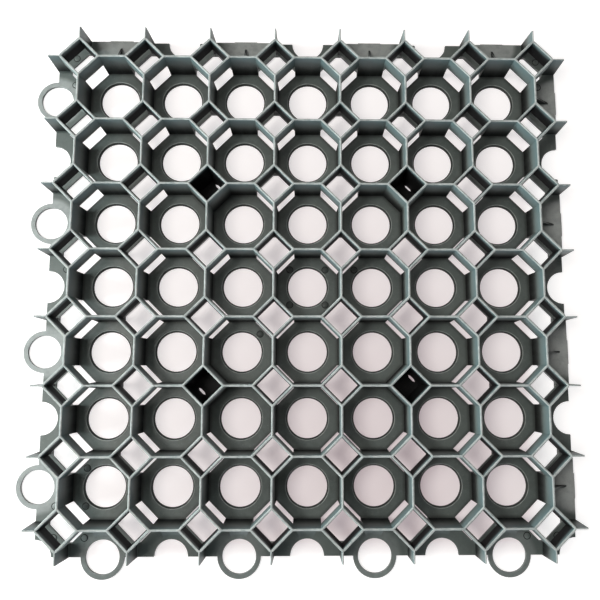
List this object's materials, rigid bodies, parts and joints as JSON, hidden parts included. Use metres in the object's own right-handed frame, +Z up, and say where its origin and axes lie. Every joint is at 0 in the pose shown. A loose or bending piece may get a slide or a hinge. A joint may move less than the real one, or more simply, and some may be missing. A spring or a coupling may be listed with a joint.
{
  "type": "grass paver grid",
  "caption": "Moulded plastic grass paver panel with octagon cells, square cells between them, drain holes and coupling rings and tabs.",
  "frame": {"origin": "middle of the underside of the whole outline, rings included, on the floor; the 500 mm module's own middle is 9.7 mm from it along +X and +Y", "axes": "+Z up out of the open cells, +X towards a side with raised tabs and away from the left-hand rings, +Y towards the other tab side"},
  "size_m": [0.5205, 0.5205, 0.035],
  "materials": {
    "plastic": "matte"
  },
  "bodies": {
    "root": {"paver_grid": "plastic"}
  },
  "joints": []
}
